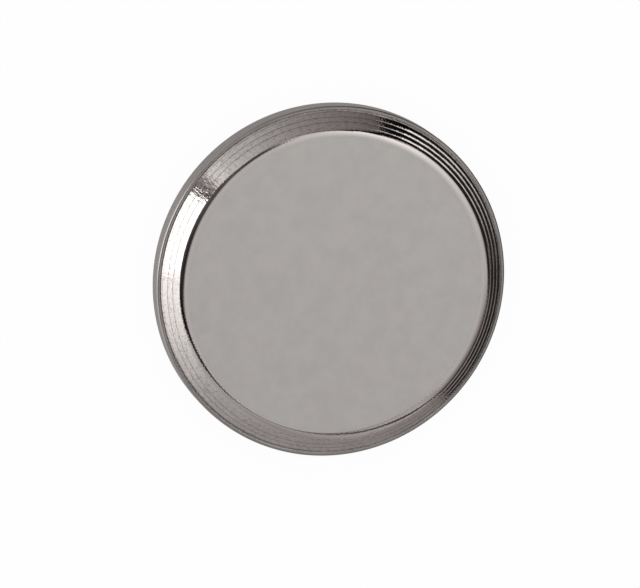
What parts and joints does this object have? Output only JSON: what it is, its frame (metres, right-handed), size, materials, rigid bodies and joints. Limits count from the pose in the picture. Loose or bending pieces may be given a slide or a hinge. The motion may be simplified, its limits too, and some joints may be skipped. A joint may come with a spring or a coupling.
{
  "type": "disc magnet",
  "caption": "Flat round magnet with a plain cylindrical edge, a turned bevel around its front face and a flat back to rest on.",
  "frame": {"origin": "centre of the flat back face, which the disc rests on", "axes": "+Z along the disc's own axis, from the back face towards the bevelled front face; the disc is round, so X and Y are alike"},
  "size_m": [0.02, 0.02, 0.0022],
  "materials": {
    "nickel_plating": "bright nickel plating over a satin lapped face and a turned bevel"
  },
  "bodies": {
    "root": {"disc_magnet": "nickel_plating"}
  },
  "joints": []
}
